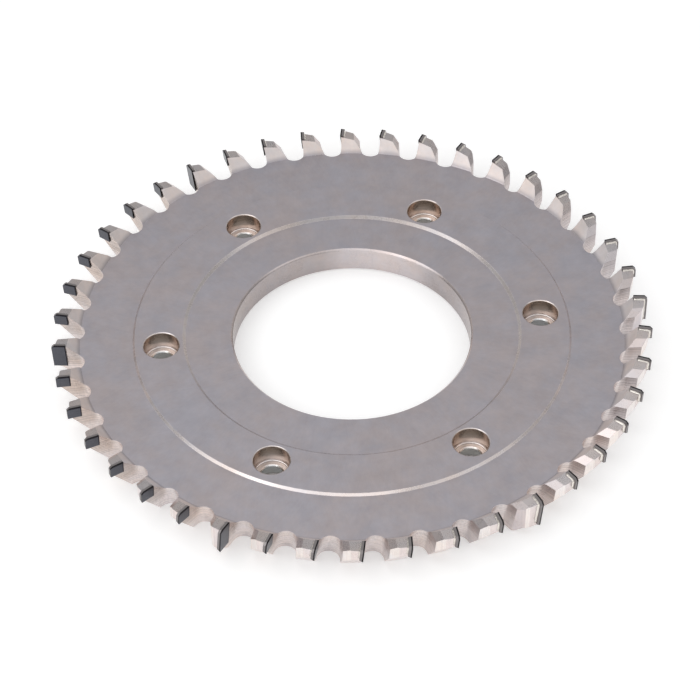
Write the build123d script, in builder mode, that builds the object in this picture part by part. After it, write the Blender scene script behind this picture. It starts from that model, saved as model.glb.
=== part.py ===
from build123d import *
import os
from math import cos, degrees, radians, sin, tan

# Blade
cutting_radius = 125.3
overall_height = 18.0
tooth_count = 42
finishing_count = 6

# Hub and clamping ring, whose radii are those of its flat top
bore_radius = 50.0
bore_chamfer = 0.8
face_height = 12.0
ring_rise = 1.0
ring_inner_radius = 71.0
ring_outer_radius = 91.0
ring_inner_slope = 1.2
ring_outer_slope = 0.9

# Bolt holes
bolt_count = 6
bolt_circle_radius = 80.0
bolt_hole_radius = 4.5
counterbore_radius = 7.5
counterbore_depth = 8.2
counterbore_edge = 0.3
bolt_hole_chamfer = 0.6

# Crown of the rim: a concave slope that rises from the outer face to the lands of the teeth
crown_width = 11.4
crown_slope = 45.0
crown_blend = 4.0

# Underside of the teeth: one cone under the hogging teeth, two under the finishing teeth
hogging_underside_width = 9.9
hogging_underside_slope = 55.0
finishing_underside_width = 7.3
finishing_underside_slope = 48.0
finishing_underside_rise = 3.9

# Backs of the teeth: a short primary facet and a steeper secondary one, outside and on top
outer_primary_length = 5.0
outer_primary_relief = 14.5
outer_secondary_relief = 36.5
top_primary_length = 5.5
top_primary_relief = 9.0
top_secondary_relief = 46.0

# Heel facet that ends the back of a finishing tooth
heel_start = 6.3
heel_length = 3.6
heel_relief = 60.0

# Gullets: slots with a round floor, square to an axis that leans along and across the cutting edge
gullet_depth = 12.7
gullet_round = 4.5
gullet_opening = 18.0
gullet_lean = 10.8
gullet_shear = 7.2

# Cutting plates
hogging_width = 6.0
finishing_width = 12.6
plate_depth = 5.85
plate_thickness = 1.6
plate_corner = 1.1
plate_overhang = 1.5
plate_rise = 1.1
plate_rake = -7.9
plate_shear = 5.6
plate_clearance = 6.0
plate_foot_bevel = 30.0
plate_stand = 0.4

# How far the cutters run past the steel that they cut
margin = 4.0

pitch = 360 / tooth_count
teeth_per_group = tooth_count // finishing_count
steel_radius = cutting_radius - plate_overhang
ring_height = face_height + ring_rise
land_height = overall_height - plate_rise
finishing_bottom = overall_height - finishing_width
outside = cutting_radius + margin


def tangent(angle):
    return tan(radians(angle))


# Frame of the first plate's face: x outward along its top edge, y up, z backward into the tooth
edge_direction = Vector(cos(radians(plate_rake)), sin(radians(plate_rake)), 0)
face_up = Vector(0, tangent(plate_shear), 1).normalized()
plate_face = Plane(
    origin=(cutting_radius, 0, overall_height),
    x_dir=edge_direction,
    z_dir=edge_direction.cross(face_up),
)
plate_back = Vector(-tangent(plate_clearance), -1, -tangent(plate_clearance))
foot_rise = Vector(0, sin(radians(plate_foot_bevel)), cos(radians(plate_foot_bevel)))


def cutting_plate(width):
    """An oblique slab that falls away behind its cutting edges, its outer top corner clipped."""
    length = width / face_up.Z
    foot_plane = Plane(
        origin=plate_face.from_local_coords(Vector(0, -length, 0)),
        x_dir=edge_direction,
        z_dir=(plate_face.y_dir * foot_rise.Y + plate_face.z_dir * foot_rise.Z).cross(edge_direction),
    )
    with BuildPart() as slab:
        with BuildSketch(plate_face):
            with BuildLine():
                Polyline(
                    (-plate_corner, 0),
                    (-plate_depth, 0),
                    (-plate_depth, -length),
                    (0, -length),
                    (0, -plate_corner),
                    close=True,
                )
            make_face()
        extrude(amount=plate_thickness, dir=plate_back)
        split(bisect_by=foot_plane, keep=Keep.TOP)
    return slab.part


hogging_plate = cutting_plate(hogging_width)
finishing_plate = cutting_plate(finishing_width)

# Gullet in front of the first tooth: x outward, y forward, from the cutting corner
gullet_upright = Vector(0, tangent(gullet_shear), 1)
gullet_axis = (gullet_upright + edge_direction * tangent(gullet_lean)).normalized()
gullet_frame = Plane(
    origin=plate_face.origin + gullet_axis * margin,
    x_dir=(edge_direction - gullet_axis * gullet_axis.dot(edge_direction)).normalized(),
    z_dir=gullet_axis,
)
gullet_mouth = 2 * margin
floor_centre = Vector(gullet_round - gullet_depth, gullet_round - plate_stand)
front_foot = floor_centre - Vector(0, gullet_round)
flank_direction = Vector(1, 0).rotate(Axis.Z, gullet_opening)
flank_foot = floor_centre + flank_direction.rotate(Axis.Z, 90) * gullet_round
flank_end = flank_foot + flank_direction * (gullet_mouth - flank_foot.X)
with BuildPart() as gullet_cutter:
    with BuildSketch(gullet_frame):
        with BuildLine():
            Line((gullet_mouth, front_foot.Y), front_foot)
            ThreePointArc(front_foot, (-gullet_depth, floor_centre.Y), flank_foot)
            Line(flank_foot, flank_end)
            Line(flank_end, (gullet_mouth, front_foot.Y))
        make_face()
    extrude(amount=-(overall_height + 2 * margin))

# Outer relief cutter: what lies outside the two upright facets of a tooth's back
outer_front = (steel_radius + (margin + plate_thickness) * tangent(outer_primary_relief), margin)
outer_middle = (
    steel_radius - (outer_primary_length - plate_thickness) * tangent(outer_primary_relief),
    -outer_primary_length,
)
outer_reach = 2 * margin
outer_back = (
    outer_middle[0] - outer_reach * tangent(outer_secondary_relief),
    -outer_primary_length - outer_reach,
)
with BuildPart() as outer_cutter:
    with BuildSketch(Plane.XY.offset(-margin)):
        with BuildLine():
            Polyline(
                outer_front,
                outer_middle,
                outer_back,
                (outside, outer_back[1]),
                (outside, outer_front[1]),
                close=True,
            )
        make_face()
    extrude(amount=overall_height + 2 * margin)

# Heel cutter: what lies outside the last upright facet of a finishing tooth's back
heel_radius = outer_middle[0] - (heel_start - outer_primary_length) * tangent(outer_secondary_relief)
with BuildPart() as heel_cutter:
    with BuildSketch(Plane.XY.offset(-margin)):
        with BuildLine():
            Polyline(
                (heel_radius, -heel_start),
                (heel_radius - heel_length * tangent(heel_relief), -heel_start - heel_length),
                (outside, -heel_start - heel_length),
                (outside, -heel_start),
                close=True,
            )
        make_face()
    extrude(amount=overall_height + 2 * margin)

# Top relief cutter: what lies above the two falling facets of a tooth's land
crown_top = land_height + (margin + plate_thickness) * tangent(top_primary_relief)
land_middle = land_height - (top_primary_length - plate_thickness) * tangent(top_primary_relief)
land_back = -top_primary_length - (land_middle - face_height) / tangent(top_secondary_relief)
land_inside = cutting_radius - gullet_depth
with BuildPart() as top_cutter:
    with BuildSketch(Plane.YZ.offset(land_inside)):
        with BuildLine():
            Polyline(
                (margin, crown_top),
                (-top_primary_length, land_middle),
                (land_back, face_height),
                (land_back, overall_height + margin),
                (margin, overall_height + margin),
                close=True,
            )
        make_face()
    extrude(amount=outside - land_inside)

# Underside cutter of the hogging teeth, swept past one group of them from gullet to gullet
hogging_underside_start = cutting_radius - hogging_underside_width
gullet_middle = degrees(gullet_round / cutting_radius)
with BuildPart() as underside_cutter:
    with BuildSketch(Plane.XZ):
        with BuildLine():
            Polyline(
                (hogging_underside_start - margin / tangent(hogging_underside_slope), -margin),
                (outside, (outside - hogging_underside_start) * tangent(hogging_underside_slope)),
                (outside, -margin),
                close=True,
            )
        make_face()
    revolve(axis=Axis.Z, revolution_arc=(teeth_per_group - 1) * pitch)

# Steel body: a turned blank, then its teeth, the seats of the plates and the bolt holes
crown_foot_radius = cutting_radius - crown_width
finishing_underside_start = cutting_radius - finishing_underside_width
with BuildPart() as blade_body:
    with BuildSketch(Plane.XZ) as section:
        with BuildLine():
            Polyline(
                (bore_radius, bore_chamfer),
                (bore_radius + bore_chamfer, 0),
                (finishing_underside_start, 0),
                (
                    finishing_underside_start
                    + finishing_underside_rise / tangent(finishing_underside_slope),
                    finishing_underside_rise,
                ),
                (cutting_radius, finishing_bottom),
                (cutting_radius, crown_top),
                (crown_foot_radius + (crown_top - face_height) / tangent(crown_slope), crown_top),
                (crown_foot_radius, face_height),
                (ring_outer_radius + ring_outer_slope, face_height),
                (ring_outer_radius, ring_height),
                (ring_inner_radius, ring_height),
                (ring_inner_radius - ring_inner_slope, face_height),
                (bore_radius + bore_chamfer, face_height),
                (bore_radius, face_height - bore_chamfer),
                close=True,
            )
        make_face()
        crown_foot = section.vertices().sort_by_distance((crown_foot_radius, 0, face_height))[0]
        fillet(crown_foot, radius=crown_blend)
    revolve(axis=Axis.Z)
    with PolarLocations(0, tooth_count):
        add(gullet_cutter.part, mode=Mode.SUBTRACT)
        add(outer_cutter.part, mode=Mode.SUBTRACT)
        add(top_cutter.part, mode=Mode.SUBTRACT)
    with PolarLocations(0, finishing_count, start_angle=gullet_middle):
        add(underside_cutter.part, mode=Mode.SUBTRACT)
    with PolarLocations(0, finishing_count):
        add(heel_cutter.part, mode=Mode.SUBTRACT)
        add(finishing_plate, mode=Mode.SUBTRACT)
    for tooth in range(1, teeth_per_group):
        with PolarLocations(0, finishing_count, start_angle=tooth * pitch):
            add(hogging_plate, mode=Mode.SUBTRACT)
    with Locations((0, 0, ring_height)):
        with PolarLocations(bolt_circle_radius, bolt_count):
            CounterSinkHole(
                counterbore_radius,
                counterbore_radius + counterbore_edge,
                depth=counterbore_depth,
                counter_sink_angle=90,
            )
    with Locations((0, 0, ring_height - counterbore_depth)):
        with PolarLocations(bolt_circle_radius, bolt_count):
            CounterSinkHole(
                bolt_hole_radius,
                bolt_hole_radius + bolt_hole_chamfer,
                counter_sink_angle=90,
            )
blade_body.part.label = "blade_body"

os.makedirs("parts", exist_ok=True)
export_step(blade_body.part, "parts/blade_body.step")
hogging = 0
finishing = 0
for tooth in range(tooth_count):
    if tooth % teeth_per_group == 0:
        finishing += 1
        tip = finishing_plate.rotate(Axis.Z, tooth * pitch)
        tip.label = f"finishing_tip_{finishing}"
    else:
        hogging += 1
        tip = hogging_plate.rotate(Axis.Z, tooth * pitch)
        tip.label = f"hogging_tip_{hogging:02d}"
    export_step(tip, f"parts/{tip.label}.step")
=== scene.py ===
from math import cos, pi, radians, sin, tan
from random import Random
from types import SimpleNamespace

import bmesh
import bpy
from mathutils import Matrix, Vector


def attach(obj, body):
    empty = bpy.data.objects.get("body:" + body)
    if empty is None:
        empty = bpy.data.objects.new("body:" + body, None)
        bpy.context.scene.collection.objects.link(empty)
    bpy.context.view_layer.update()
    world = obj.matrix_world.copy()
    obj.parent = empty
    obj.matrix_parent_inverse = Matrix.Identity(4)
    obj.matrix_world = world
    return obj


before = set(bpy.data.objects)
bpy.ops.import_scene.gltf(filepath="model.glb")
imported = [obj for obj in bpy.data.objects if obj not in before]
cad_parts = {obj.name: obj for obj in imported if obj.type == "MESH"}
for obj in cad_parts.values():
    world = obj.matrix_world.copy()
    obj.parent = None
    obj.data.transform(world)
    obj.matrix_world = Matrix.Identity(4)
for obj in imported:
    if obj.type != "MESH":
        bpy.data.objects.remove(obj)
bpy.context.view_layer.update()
scene = bpy.context.scene

# The scene is in metres
MILLIMETRE = 0.001

# Sizes of the blade, in millimetres and degrees
CUTTING_RADIUS = 125.3
HEIGHT = 18.0
TOOTH_COUNT = 42
FINISHING_COUNT = 6
BORE_RADIUS = 50.0
FACE_TOP = 12.0
RING_TOP = 13.0
BOLT_CIRCLE = 80.0
BOLT_COUNT = 6
BOLT_HOLE = 4.5
COUNTERBORE = 7.5
COUNTERBORE_FLOOR = RING_TOP - 8.2
COUNTERBORE_EDGE = 0.32
PLATE_THICKNESS = 1.6
PLATE_DEPTH = 5.85
DIAMOND_LAYER = 0.6
FINISHING_WIDTH = 12.6
HOGGING_WIDTH = 6.0
STEEL_RADIUS = CUTTING_RADIUS - 1.5
LAND_TOP = HEIGHT - 1.1
PLATE_RAKE = -7.9
PLATE_SHEAR = 5.6
TOP_RELIEF = tan(radians(9.0))
OUTER_RELIEF = tan(radians(14.5))

# Directions of the first tooth's plate: outward along its top edge, up its face and back from it
PLATE_CORNER = Vector((CUTTING_RADIUS, 0, HEIGHT))
OUT = Vector((cos(radians(PLATE_RAKE)), sin(radians(PLATE_RAKE)), 0))
UP = Vector((0, tan(radians(PLATE_SHEAR)), 1)).normalized()
BACK = OUT.cross(UP)

# A tooth's own frame reaches from a quarter of a pitch in front of its plate to three quarters behind
TOOTH_SHIFT = 0.25

# The photograph's view: place in metres, angles in degrees, lens and sensor in millimetres, and a
# shift of half a pixel
CAMERA_PLACE = Vector((-0.00073, -0.68256, 0.69416))
CAMERA_ELEVATION = 45.477
CAMERA_ROLL = -0.717
CAMERA_LENS = 118.3
CAMERA_SENSOR = 36.0
CAMERA_SHIFT = 0.5 / 700
PART_TURN = 5.95

# The studio: sizes in metres, strengths in which 1 is white, and the direction of the sky's paler part
LAMP_DISTANCE = 1.4
FLOOR_SIZE = 5.0
FLOOR_PAINT = 0.84
FLOOR_GLOW = 0.3
SKY = 0.42
PALER_HORIZON = 0.2
PALER_BEHIND = 0.31
BEHIND = (0.073, 0.696, 0.713)


def make_camera():
    """The camera that was solved from the bore, the ring, the bolt holes and the tips."""
    data = bpy.data.cameras.new("camera")
    data.lens = CAMERA_LENS
    data.sensor_width = CAMERA_SENSOR
    data.shift_x = -CAMERA_SHIFT
    data.shift_y = CAMERA_SHIFT
    data.clip_end = 50
    camera = bpy.data.objects.new("camera", data)
    scene.collection.objects.link(camera)
    look = Matrix.Rotation(radians(90 - CAMERA_ELEVATION), 4, "X")
    roll = Matrix.Rotation(radians(CAMERA_ROLL), 4, "Z")
    turn = Matrix.Rotation(radians(-PART_TURN), 4, "Z")
    camera.matrix_world = turn @ Matrix.Translation(CAMERA_PLACE) @ look @ roll
    scene.camera = camera


def make_lamp(name, azimuth, elevation, size, radiance):
    """A soft box that looks at the blade: azimuth 0 is behind the camera, and radiance 1 is white."""
    data = bpy.data.lights.new(name, "AREA")
    data.shape = "RECTANGLE"
    data.size, data.size_y = size
    data.energy = radiance * pi * size[0] * size[1]
    lamp = bpy.data.objects.new(name, data)
    scene.collection.objects.link(lamp)
    turn = radians(azimuth - PART_TURN)
    rise = radians(elevation)
    direction = Vector((sin(turn) * cos(rise), -cos(turn) * cos(rise), sin(rise)))
    place = direction * LAMP_DISTANCE
    facing = place.to_track_quat("Z", "Y").to_matrix().to_4x4()
    lamp.matrix_world = Matrix.Translation(place) @ facing


class Field:
    """A number or a colour that shader nodes work out at each point of a surface."""

    def __init__(self, tree, socket):
        self.tree = tree
        self.socket = socket

    def math(self, operation, *others):
        node = self.tree.nodes.new("ShaderNodeMath")
        node.operation = operation
        for slot, value in zip(node.inputs, (self, *others)):
            feed(self.tree, slot, value)
        return Field(self.tree, node.outputs[0])

    def __add__(self, other):
        return self.math("ADD", other)

    def __sub__(self, other):
        return self.math("SUBTRACT", other)

    def __mul__(self, other):
        return self.math("MULTIPLY", other)

    def __truediv__(self, other):
        return self.math("DIVIDE", other)

    def inverse(self):
        """1 where this is 0, and 0 where it is 1."""
        return self * -1.0 + 1.0

    def level(self, start, end):
        """The number start where this is 0, and end where it is 1."""
        return self * (end - start) + start

    def ramp(self, low, high):
        """0 below low and 1 above high, or the other way round where high is the lower one."""
        node = self.tree.nodes.new("ShaderNodeMapRange")
        node.interpolation_type = "SMOOTHSTEP"
        feed(self.tree, node.inputs["Value"], self)
        node.inputs["From Min"].default_value = min(low, high)
        node.inputs["From Max"].default_value = max(low, high)
        node.inputs["To Min"].default_value = 0 if low < high else 1
        node.inputs["To Max"].default_value = 1 if low < high else 0
        return Field(self.tree, node.outputs["Result"])

    def band(self, low, high, soft):
        """1 between low and high, with soft edges."""
        return self.ramp(low - soft, low + soft) * self.ramp(high + soft, high - soft)

    def mix(self, start, end):
        """The colour start where this is 0, and end where it is 1."""
        node = self.tree.nodes.new("ShaderNodeMix")
        node.data_type = "RGBA"
        feed(self.tree, node.inputs["Factor"], self)
        feed(self.tree, node.inputs["A"], start, colour=True)
        feed(self.tree, node.inputs["B"], end, colour=True)
        return Field(self.tree, node.outputs["Result"])

    def times(self, other):
        """This colour times another colour or a number."""
        node = self.tree.nodes.new("ShaderNodeVectorMath")
        node.operation = "MULTIPLY"
        feed(self.tree, node.inputs[0], self)
        feed(self.tree, node.inputs[1], other)
        return Field(self.tree, node.outputs[0])


def feed(tree, slot, value, colour=False):
    """Links a field to a socket, or writes a number or a colour on it."""
    if isinstance(value, Field):
        tree.links.new(value.socket, slot)
    elif colour:
        slot.default_value = (*value, 1)
    else:
        slot.default_value = value


def parts(tree, vector):
    """The x, y and z of a vector socket."""
    node = tree.nodes.new("ShaderNodeSeparateXYZ")
    tree.links.new(vector, node.inputs[0])
    return [Field(tree, output) for output in node.outputs]


def polar(x, y):
    """Distance from the axis, and angle round it."""
    return (x * x + y * y).math("SQRT"), y.math("ARCTAN2", x)


def repeated(radius, angle, count, shift=0.0):
    """Distance outward and forward from the axis in the frame of the nearest of count places.

    The index is that place's number.
    """
    share = angle * (count / (2 * pi))
    index = (share + shift).math("ROUND")
    local = (share - index) * (2 * pi / count)
    return SimpleNamespace(
        outward=radius * local.math("COSINE"),
        forward=radius * local.math("SINE"),
        index=index,
    )


def distance_to_bolt(radius, angle):
    """Distance from the axis of the nearest bolt hole."""
    bolt = repeated(radius, angle, BOLT_COUNT)
    outward = bolt.outward - BOLT_CIRCLE
    return (outward * outward + bolt.forward * bolt.forward).math("SQRT")


class Surface:
    """A metal, with the place in millimetres and the direction of each of its points."""

    def __init__(self, name, edge):
        self.material = bpy.data.materials.new(name)
        self.material.use_nodes = True
        self.tree = self.material.node_tree
        self.shader = self.tree.nodes["Principled BSDF"]
        self.shader.inputs["Metallic"].default_value = 1.0
        place = self.tree.nodes.new("ShaderNodeTexCoord").outputs["Object"]
        self.place = self.vector_math("SCALE", place)
        self.place.node.inputs["Scale"].default_value = 1 / MILLIMETRE
        self.x, self.y, self.z = parts(self.tree, self.place)
        self.radius, self.angle = polar(self.x, self.y)
        normal = self.tree.nodes.new("ShaderNodeNewGeometry").outputs["Normal"]
        normal_x, normal_y, self.normal_z = parts(self.tree, normal)
        self.outward = (normal_x * self.x + normal_y * self.y) / self.radius
        self.forward = (normal_y * self.x - normal_x * self.y) / self.radius
        self.rounded = self.tree.nodes.new("ShaderNodeBevel")
        self.rounded.samples = 6
        self.rounded.inputs["Radius"].default_value = edge * MILLIMETRE
        closeness = self.vector_math("DOT_PRODUCT", normal, self.rounded.outputs[0], result="Value")
        self.worn = Field(self.tree, closeness).ramp(0.99, 0.85)

    def vector_math(self, operation, *vectors, result="Vector"):
        node = self.tree.nodes.new("ShaderNodeVectorMath")
        node.operation = operation
        for slot, vector in zip(node.inputs, vectors):
            self.tree.links.new(vector, slot)
        return node.outputs[result]

    def vector(self, x, y, z):
        node = self.tree.nodes.new("ShaderNodeCombineXYZ")
        for slot, value in zip(node.inputs, (x, y, z)):
            feed(self.tree, slot, value)
        return node.outputs[0]

    def noise(self, vector, scale, detail=2.0, roughness=0.5):
        """Noise from 0 to 1, with about scale waves in a unit."""
        node = self.tree.nodes.new("ShaderNodeTexNoise")
        self.tree.links.new(vector, node.inputs["Vector"])
        node.inputs["Scale"].default_value = scale
        node.inputs["Detail"].default_value = detail
        node.inputs["Roughness"].default_value = roughness
        return Field(self.tree, node.outputs[0])

    def arcs(self, side, scale):
        """Fine circular marks through the axis, as the cup wheel of a surface grinder leaves them."""
        wheel = 320
        spread = 100
        lean = (self.radius * (1 / wheel)).math("ARCCOSINE") * side
        turn = self.angle + lean
        ring = self.vector(turn.math("COSINE") * spread, turn.math("SINE") * spread, self.radius * 0.02)
        return self.noise(ring, scale, detail=3, roughness=0.6)

    def finish(self, colour, roughness, height):
        """Colour, roughness, and a height in millimetres over the rounded edges."""
        bump = self.tree.nodes.new("ShaderNodeBump")
        bump.inputs["Distance"].default_value = MILLIMETRE
        feed(self.tree, bump.inputs["Height"], height)
        self.tree.links.new(self.rounded.outputs[0], bump.inputs["Normal"])
        self.tree.links.new(bump.outputs[0], self.shader.inputs["Normal"])
        feed(self.tree, self.shader.inputs["Base Color"], colour, colour=True)
        feed(self.tree, self.shader.inputs["Roughness"], roughness)
        return self.material


# Colours of the steel
GROUND = (0.415, 0.392, 0.405)
TURNED = (0.72, 0.67, 0.64)
# Turned steel inside the ring's middle, darker as painted shade
TURNED_PAINTED_SHADE = (0.61, 0.57, 0.545)
BORED = (0.60, 0.545, 0.525)
MILLED = (0.80, 0.74, 0.70)
# Gullet flanks, darker than the milled steel as painted shade, less so at their foot
FLANK_TOP_PAINTED_SHADE = (0.47, 0.42, 0.40)
FLANK_FOOT_PAINTED_SHADE = (0.66, 0.60, 0.57)
CROWN = (0.76, 0.70, 0.66)
LAND = (0.44, 0.41, 0.395)
# The back part of a land, lighter than the land as painted light
LIT_BACK_LAND = (0.58, 0.53, 0.51)
# Outer facets of the teeth, lighter or darker by which way they face, as painted light and shade
FACET = (0.76, 0.69, 0.655)
LIT_BACK_FACET = (0.86, 0.81, 0.76)
SHADED_HEEL = (0.68, 0.62, 0.60)
# The bronzed counterbore wall: painted shade at the top, a painted reflection lower down
BRONZE_IN_SHADE = (0.44, 0.355, 0.285)
BRONZE_IN_LIGHT = (0.62, 0.55, 0.485)
LEDGE = (0.82, 0.765, 0.725)
DRILLED = (0.58, 0.60, 0.585)
# A heat tint beside the plates, darkened further as painted shade
HEAT_TINT_AND_SHADE = (0.47, 0.40, 0.345)
WORN = (0.86, 0.83, 0.81)
COOL_CLOUD = (0.965, 0.985, 1.05)
WARM_CLOUD = (1.045, 0.985, 0.97)

# Radii where the body's surfaces change
RING_MIDDLE = 76.0
RIM_START = 110.0
FACET_START = 115.0


def body_regions(s, from_bolt):
    """Masks of the body's surfaces, told apart by where they lie and which way they face."""
    upward = s.normal_z.math("ABSOLUTE")
    flat = upward.ramp(0.992, 0.998)
    sloping = flat.inverse()
    rim = s.radius.ramp(RIM_START - 1, RIM_START + 1)
    upright = rim * upward.ramp(0.45, 0.3)
    facet = upright * s.outward.ramp(0.35, 0.48) * s.radius.ramp(FACET_START, FACET_START + 1)
    slope = rim * s.outward.ramp(-0.05, -0.3)
    above_face = s.z.ramp(FACE_TOP + 0.3, FACE_TOP + 0.9)
    return SimpleNamespace(
        upward=upward,
        flat=flat,
        rim=rim,
        turned=sloping * s.radius.ramp(RIM_START + 1, RIM_START - 1),
        bored=sloping * s.radius.ramp(BORE_RADIUS + 0.9, BORE_RADIUS + 0.6),
        upright=upright,
        facet=facet,
        wall=upright * facet.inverse(),
        flank=upright * s.forward.ramp(-0.82, -0.93),
        slope=slope,
        crown=slope * s.z.ramp(FACE_TOP - 0.5, FACE_TOP + 1.9),
        land=rim * upward.ramp(0.45, 0.6) * above_face * s.outward.ramp(-0.4, -0.15),
        cone=rim * s.normal_z.ramp(-0.3, -0.45) * sloping,
        in_hole=from_bolt.ramp(COUNTERBORE + 0.01, COUNTERBORE - 0.02) * s.z.ramp(0.1, 0.4),
    )


def body_marks(s, tooth):
    """What grinding, turning, milling and handling leave on the steel, as noise.

    Grinding and passes lie between -1 and 1, and the others between 0 and 1.
    """
    wander = s.noise(s.vector(tooth.index, s.z, 0.0), scale=0.8)
    return SimpleNamespace(
        fine=s.noise(s.place, scale=3.0, detail=3),
        cloud=s.noise(s.place, scale=0.04, detail=6, roughness=0.72),
        stain=s.noise(s.place, scale=0.13, detail=5, roughness=0.7),
        grinding=s.arcs(1.0, 1.3) + s.arcs(-1.0, 1.1) - 1.0,
        streaks=s.noise(s.vector(s.x, s.y, s.z * 0.05), scale=1.6, detail=3, roughness=0.6),
        rings=s.noise(s.vector(s.radius * 0.5, s.z, 0.0), scale=2.6, detail=3, roughness=0.6),
        passes=(s.z * 7.0 + wander * 12.0).math("SINE") * wander,
    )


def hole_colour(s, from_bolt):
    """A bronzed wall with painted shade at the top and a painted reflection lower down, a bright ledge
    and a plain drilled hole.
    """
    # Painted shade at the top of the wall, a painted reflection lower down
    colour = s.z.ramp(RING_TOP - 1.5, COUNTERBORE_FLOOR + 1.2).mix(BRONZE_IN_SHADE, BRONZE_IN_LIGHT)
    colour = s.z.ramp(COUNTERBORE_FLOOR + 1.1, COUNTERBORE_FLOOR + 0.3).mix(colour, LEDGE)
    return from_bolt.ramp(BOLT_HOLE + 0.5, BOLT_HOLE + 0.2).mix(colour, DRILLED)


def body_colour(s, region, marks, tooth, from_bolt):
    """The colour of each region with painted light and shade on the inner turned steel, flanks, lands
    and facets, a heat tint with painted shade beside the plates, bright worn edges and faint clouds.
    """
    # The turned surfaces inside the ring's middle, the inner slope among them, get painted shade
    turned_with_inner_shade = s.radius.ramp(RING_MIDDLE - 2, RING_MIDDLE + 2).mix(TURNED_PAINTED_SHADE, TURNED)
    # Painted shade on the flanks, lighter towards their foot
    flanks_with_painted_shade = s.z.ramp(13.5, 5.5).mix(FLANK_TOP_PAINTED_SHADE, FLANK_FOOT_PAINTED_SHADE)
    # The more sloping back part of each land is painted lighter, as painted light
    lands_with_painted_light = region.upward.ramp(0.88, 0.96).mix(LIT_BACK_LAND, LAND)
    # The facets get painted light and shade by which way they face
    facets_lit_and_shaded = s.forward.ramp(-0.35, -0.5).mix(FACET, LIT_BACK_FACET)
    facets_lit_and_shaded = s.forward.ramp(-0.7, -0.8).mix(facets_lit_and_shaded, SHADED_HEEL)
    # On the gullet wall beside each plate: a heat tint with painted shade
    near_plate = tooth.forward.band(-2.5, 1.8, soft=1.6) * s.z.ramp(3, 9) * s.radius.ramp(112, 115)

    colour = region.turned.mix(GROUND, turned_with_inner_shade)
    colour = region.bored.mix(colour, BORED)
    colour = region.upright.mix(colour, MILLED)
    colour = region.flank.mix(colour, flanks_with_painted_shade)
    colour = region.cone.mix(colour, MILLED)
    colour = region.crown.mix(colour, CROWN)
    colour = region.land.mix(colour, lands_with_painted_light)
    colour = region.facet.mix(colour, facets_lit_and_shaded)
    colour = (near_plate * region.wall * 0.65).mix(colour, HEAT_TINT_AND_SHADE)
    colour = region.in_hole.mix(colour, hole_colour(s, from_bolt))
    colour = (s.worn * region.rim * marks.fine.ramp(0.3, 0.6) * 0.7).mix(colour, WORN)
    return colour.times(marks.cloud.ramp(0.3, 0.7).mix(COOL_CLOUD, WARM_CLOUD))


def body_shade(s, region, marks):
    """How much the marks lighten or darken the steel.

    The wall of the bore has painted shade all round, apart from one lighter patch.
    """
    shade = marks.grinding * region.flat * 0.08 + 1.0
    shade = shade + (marks.stain - 0.5) * 0.34
    shade = shade + (marks.streaks - 0.5) * region.upright * 0.3
    shade = shade + (marks.rings - 0.5) * region.turned * region.upward.ramp(0.5, 0.2) * 0.25
    shade = shade + marks.passes * region.wall * 0.34
    # Painted shade on the wall of the bore, all round but one patch
    painted_bore_shade = (s.angle - 1.2).math("COSINE").ramp(1.0, 0.85)
    painted_bore_shade = painted_bore_shade * s.radius.ramp(BORE_RADIUS + 0.4, BORE_RADIUS + 0.2)
    return shade * (painted_bore_shade * -0.3 + 1.0)


def body_material():
    """Ground faces, turned ring and bore, milled gullets and ground teeth of one steel."""
    s = Surface("blade_steel_finish", edge=0.2)
    from_bolt = distance_to_bolt(s.radius, s.angle)
    tooth = repeated(s.radius, s.angle, TOOTH_COUNT, TOOTH_SHIFT)
    region = body_regions(s, from_bolt)
    marks = body_marks(s, tooth)
    colour = body_colour(s, region, marks, tooth, from_bolt).times(body_shade(s, region, marks))

    roughness = region.flat.level(0.28, 0.42) - region.in_hole * 0.05
    roughness = roughness + region.slope * s.z.ramp(FACE_TOP, FACE_TOP + 0.6) * 0.22
    roughness = roughness + (marks.fine - 0.5) * 0.06 + (marks.stain - 0.5) * 0.08

    height = marks.grinding * region.flat * 0.0012
    height = height + marks.streaks * region.upright * 0.006
    height = height + marks.rings * region.turned * region.in_hole.level(0.004, 0.007)
    height = height + marks.fine * region.slope * 0.04
    height = height + marks.passes * region.wall * 0.03
    return s.finish(colour, roughness, height)


CARBIDE = ((0.20, 0.185, 0.185), (0.27, 0.25, 0.25))
DIAMOND = ((0.018, 0.016, 0.018), (0.03, 0.028, 0.03))
PLATE_FACE = ((0.078, 0.08, 0.095), (0.105, 0.108, 0.125))
PLATE_BORDER = (0.016, 0.015, 0.022)


def tip_material():
    """A dark diamond layer on a sintered carbide back, told apart by the distance behind the face."""
    s = Surface("cutting_tip_finish", edge=0.05)
    tooth = repeated(s.radius, s.angle, TOOTH_COUNT, TOOTH_SHIFT)
    x = tooth.outward - PLATE_CORNER.x
    y = tooth.forward
    out = x * OUT.x + y * OUT.y
    behind = x * BACK.x + y * BACK.y + (s.z - PLATE_CORNER.z) * BACK.z
    layer = behind.ramp(DIAMOND_LAYER + 0.03, DIAMOND_LAYER - 0.03)
    front = behind.ramp(0.04, 0.01)
    top_border = s.z.ramp(HEIGHT - 0.7, HEIGHT - 0.5)
    inner_border = out.ramp(0.5 - PLATE_DEPTH, 0.35 - PLATE_DEPTH)
    border = top_border.math("MAXIMUM", inner_border)

    grain = s.noise(s.place, scale=8.0)
    marks = s.noise(s.vector(tooth.outward * 0.3, y * 0.3, s.z * 3.0), scale=1.2)
    face = border.mix(marks.mix(*PLATE_FACE), PLATE_BORDER)
    colour = layer.mix(marks.mix(*CARBIDE), grain.mix(*DIAMOND))
    colour = front.mix(colour, face)
    roughness = layer.level(0.32, 0.28) + (grain - 0.5) * 0.08
    height = marks * 0.002 + grain * 0.001
    return s.finish(colour, roughness, height)


SOLDER = ((0.76, 0.71, 0.65), (0.93, 0.88, 0.83))


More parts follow.
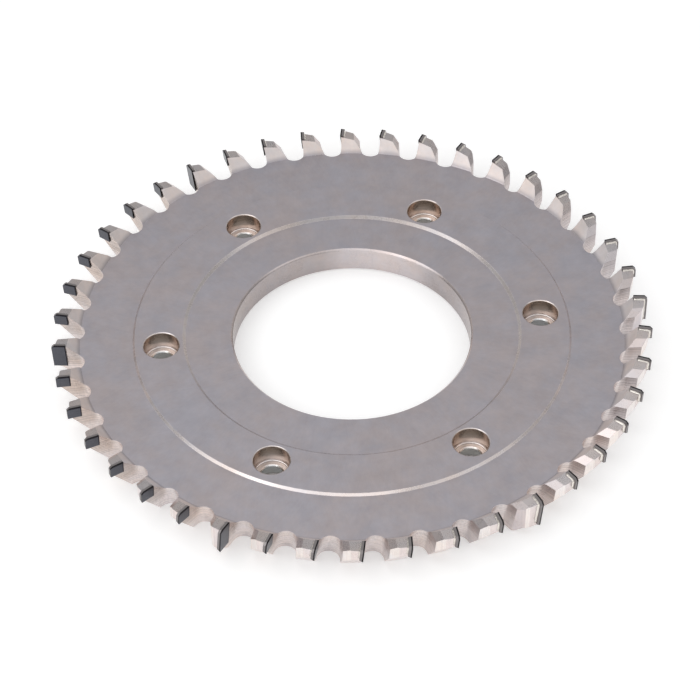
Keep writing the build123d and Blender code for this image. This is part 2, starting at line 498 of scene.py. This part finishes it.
def braze_material():
    """Silver solder, bright and slightly lumpy."""
    s = Surface("braze_finish", edge=0.05)
    lumps = s.noise(s.place, scale=1.1, detail=3)
    return s.finish(lumps.mix(*SOLDER), lumps.level(0.22, 0.34), lumps * 0.08)


def make_piece(name, strips, material, curved, closed=False):
    """One mesh of strips of closed sections, whose first curved sides are smooth."""
    mesh = bmesh.new()
    for sections in strips:
        rings = [[mesh.verts.new(corner * MILLIMETRE) for corner in section] for section in sections]
        size = len(rings[0])
        for first, second in zip(rings, rings[1:] + rings[:1] if closed else rings[1:]):
            for i in range(size):
                j = (i + 1) % size
                mesh.faces.new((first[i], first[j], second[j], second[i])).smooth = i < curved
        if not closed:
            mesh.faces.new(rings[0][::-1])
            mesh.faces.new(rings[-1])
    bmesh.ops.recalc_face_normals(mesh, faces=mesh.faces)
    data = bpy.data.meshes.new(name)
    mesh.to_mesh(data)
    mesh.free()
    piece = bpy.data.objects.new(name, data)
    scene.collection.objects.link(piece)
    data.materials.append(material)
    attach(piece, "root")


# Sides of a hollow curve
HOLLOW_STEPS = 4


def hollow(first, corner, second, sunk):
    """A concave curve from first to second that bends toward the corner, and a point sunk behind it."""
    curve = []
    for i in range(HOLLOW_STEPS + 1):
        t = i / HOLLOW_STEPS
        curve.append(first * (1 - t) ** 2 + corner * (2 * t * (1 - t)) + second * t ** 2)
    middle = (first + second) / 2
    curve.append(corner + (corner - middle).normalized() * sunk)
    return curve


def behind_plate(x, z):
    """The point just inside the first plate's back that lies at x and z."""
    depth = PLATE_THICKNESS * 0.99
    y = (depth - BACK.x * (x - PLATE_CORNER.x) - BACK.z * (z - PLATE_CORNER.z)) / BACK.y
    return Vector((x, y, z))


# Solder up the plate's back and along the steel behind it, how far it is sunk into the corner, and
# how much it shrinks or swells
LAND_SOLDER = (0.6, 0.58)
CORNER_SOLDER = (0.42, 0.6)
SIDE_SOLDER = (0.7, 0.6)
SOLDER_SUNK = 0.06
SOLDER_SWELL = (0.8, 1.15)

# How near the solder comes to the steel's outer edge from the land and from the side, and to the
# foot of the plate
LAND_END = 0.4
SIDE_START = 0.5
SIDE_END = 1.0
LAND_STEPS = 6
HOGGING_STEPS = 5
FINISHING_STEPS = 9


def braze_sections(width, steps, dice):
    """Sections of the solder in the step behind a plate: over the land, then down the outside."""
    along_land = Vector((0, -1, -TOP_RELIEF)).normalized()
    along_facet = Vector((-OUTER_RELIEF, -1, 0)).normalized()
    along_edge = Vector((-OUTER_RELIEF, -1, -TOP_RELIEF)).normalized()
    sections = []

    def add(point, rise_direction, run_direction, size):
        swell = dice.uniform(*SOLDER_SWELL)
        rise = rise_direction * (size[0] * swell)
        run = run_direction * (size[1] * swell)
        sections.append(hollow(point + rise, point, point + run, SOLDER_SUNK))

    inner = PLATE_CORNER.x - PLATE_DEPTH * OUT.x
    outer = STEEL_RADIUS - LAND_END
    for i in range(LAND_STEPS):
        x = inner + (outer - inner) * i / (LAND_STEPS - 1)
        y = behind_plate(x, LAND_TOP).y
        z = LAND_TOP + (y + PLATE_THICKNESS) * TOP_RELIEF
        add(behind_plate(x, z), UP, along_land, LAND_SOLDER)
    add(behind_plate(STEEL_RADIUS, LAND_TOP), UP + OUT, along_edge, CORNER_SOLDER)
    top = LAND_TOP - SIDE_START
    bottom = HEIGHT - width + SIDE_END
    for i in range(steps):
        z = top + (bottom - top) * i / (steps - 1)
        y = behind_plate(STEEL_RADIUS, z).y
        x = STEEL_RADIUS + (y + PLATE_THICKNESS) * OUTER_RELIEF
        add(behind_plate(x, z), OUT, along_facet, SIDE_SOLDER)
    return sections


def make_braze():
    """Silver solder behind all the plates, a little uneven."""
    dice = Random(42)
    group = TOOTH_COUNT // FINISHING_COUNT
    strips = []
    for tooth in range(TOOTH_COUNT):
        if tooth % group == 0:
            sections = braze_sections(FINISHING_WIDTH, FINISHING_STEPS, dice)
        else:
            sections = braze_sections(HOGGING_WIDTH, HOGGING_STEPS, dice)
        turn = Matrix.Rotation(2 * pi * tooth / TOOTH_COUNT, 3, "Z")
        strips.append([[turn @ corner for corner in section] for section in sections])
    make_piece("braze_fillets", strips, braze_material(), HOLLOW_STEPS)


# The lining of a counterbore: how far it stands proud of the wall and of the ledge, its corner
# radius, how far it is sunk into the body, the rows that keep its wall straight, and its sides round
# the hole
LINING_PROUD = 0.07
LINING_LIFT = 0.01
LINING_RADIUS = 0.7
LINING_SUNK = 0.5
LINING_ROW = 0.15
LINING_SIDES = 72


def lining_section(centre, outward):
    """Down the wall of a counterbore, round its corner, and closed inside the body."""
    corner = centre + outward * (COUNTERBORE - LINING_PROUD) + Vector((0, 0, LINING_LIFT))
    top = corner + Vector((0, 0, RING_TOP - COUNTERBORE_EDGE - COUNTERBORE_FLOOR))
    foot = corner + Vector((0, 0, LINING_RADIUS))
    row = Vector((0, 0, LINING_ROW))
    curve = hollow(foot, corner, corner - outward * LINING_RADIUS, LINING_SUNK)
    return [top, top - row, foot + row] + curve + [top + outward * LINING_SUNK]


def make_counterbore_linings(material):
    """The smooth wall of each counterbore and the small radius that the cutter leaves below it."""
    strips = []
    for hole in range(BOLT_COUNT):
        turn = 2 * pi * hole / BOLT_COUNT
        centre = Vector((BOLT_CIRCLE * cos(turn), BOLT_CIRCLE * sin(turn), COUNTERBORE_FLOOR))
        angles = [2 * pi * i / LINING_SIDES for i in range(LINING_SIDES)]
        strips.append([lining_section(centre, Vector((cos(a), sin(a), 0))) for a in angles])
    make_piece("counterbore_linings", strips, material, 3 + HOLLOW_STEPS, closed=True)


def make_world():
    """An even sky with a paler horizon and a paler part half way up behind the blade."""
    world = bpy.data.worlds.new("studio")
    scene.world = world
    world.use_nodes = True
    tree = world.node_tree
    background = tree.nodes["Background"]
    x, y, z = parts(tree, tree.nodes.new("ShaderNodeTexCoord").outputs["Generated"])
    toward = x * BEHIND[0] + y * BEHIND[1] + z * BEHIND[2]
    strength = toward.ramp(0.4, 1.0) * PALER_BEHIND + z.ramp(0.3, 0.0) * PALER_HORIZON + SKY
    feed(tree, background.inputs["Strength"], strength)
    background.inputs["Color"].default_value = (1, 1, 1, 1)


def floor_material():
    """White paint whose glow keeps it white in the picture, but not under the bolt holes."""
    material = bpy.data.materials.new("floor_white")
    material.use_nodes = True
    tree = material.node_tree
    tree.nodes.remove(tree.nodes["Principled BSDF"])
    paint = tree.nodes.new("ShaderNodeBsdfDiffuse")
    paint.inputs["Color"].default_value = (FLOOR_PAINT, FLOOR_PAINT, FLOOR_PAINT, 1)
    glow = tree.nodes.new("ShaderNodeEmission")
    rays = tree.nodes.new("ShaderNodeLightPath").outputs
    seen = Field(tree, rays["Is Camera Ray"]) + Field(tree, rays["Is Glossy Ray"])
    seen = (seen + Field(tree, rays["Is Transmission Ray"])).math("MINIMUM", 1.0)
    x, y, z = parts(tree, tree.nodes.new("ShaderNodeNewGeometry").outputs["Position"])
    from_bolt = distance_to_bolt(*polar(x / MILLIMETRE, y / MILLIMETRE))
    beside_bolts = from_bolt.ramp(BOLT_HOLE, BOLT_HOLE + 1.5)
    feed(tree, glow.inputs["Strength"], seen * beside_bolts * FLOOR_GLOW)
    both = tree.nodes.new("ShaderNodeAddShader")
    tree.links.new(paint.outputs[0], both.inputs[0])
    tree.links.new(glow.outputs[0], both.inputs[1])
    tree.links.new(both.outputs[0], tree.nodes["Material Output"].inputs["Surface"])
    return material


def make_floor():
    """The table that the blade lies on."""
    mesh = bpy.data.meshes.new("floor")
    half = FLOOR_SIZE / 2
    corners = [(-half, -half, 0), (half, -half, 0), (half, half, 0), (-half, half, 0)]
    mesh.from_pydata(corners, [], [(0, 1, 2, 3)])
    mesh.materials.append(floor_material())
    floor = bpy.data.objects.new("floor", mesh)
    scene.collection.objects.link(floor)


scene.view_settings.view_transform = "Standard"
make_camera()
make_world()
make_floor()
make_lamp("key", -14, 39, (1.7, 0.75), 0.95)
make_lamp("left", -60, 34, (1.0, 0.7), 1.1)
make_lamp("right", 56, 34, (1.1, 0.7), 0.5)
make_lamp("high_left", -100, 66, (1.2, 1.2), 0.8)
make_lamp("high_right", 100, 66, (1.2, 1.2), 0.45)

body_finish = body_material()
tip_finish = tip_material()
for name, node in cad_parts.items():
    node.material_slots[0].material = body_finish if name == "blade_body" else tip_finish
make_braze()
make_counterbore_linings(body_finish)
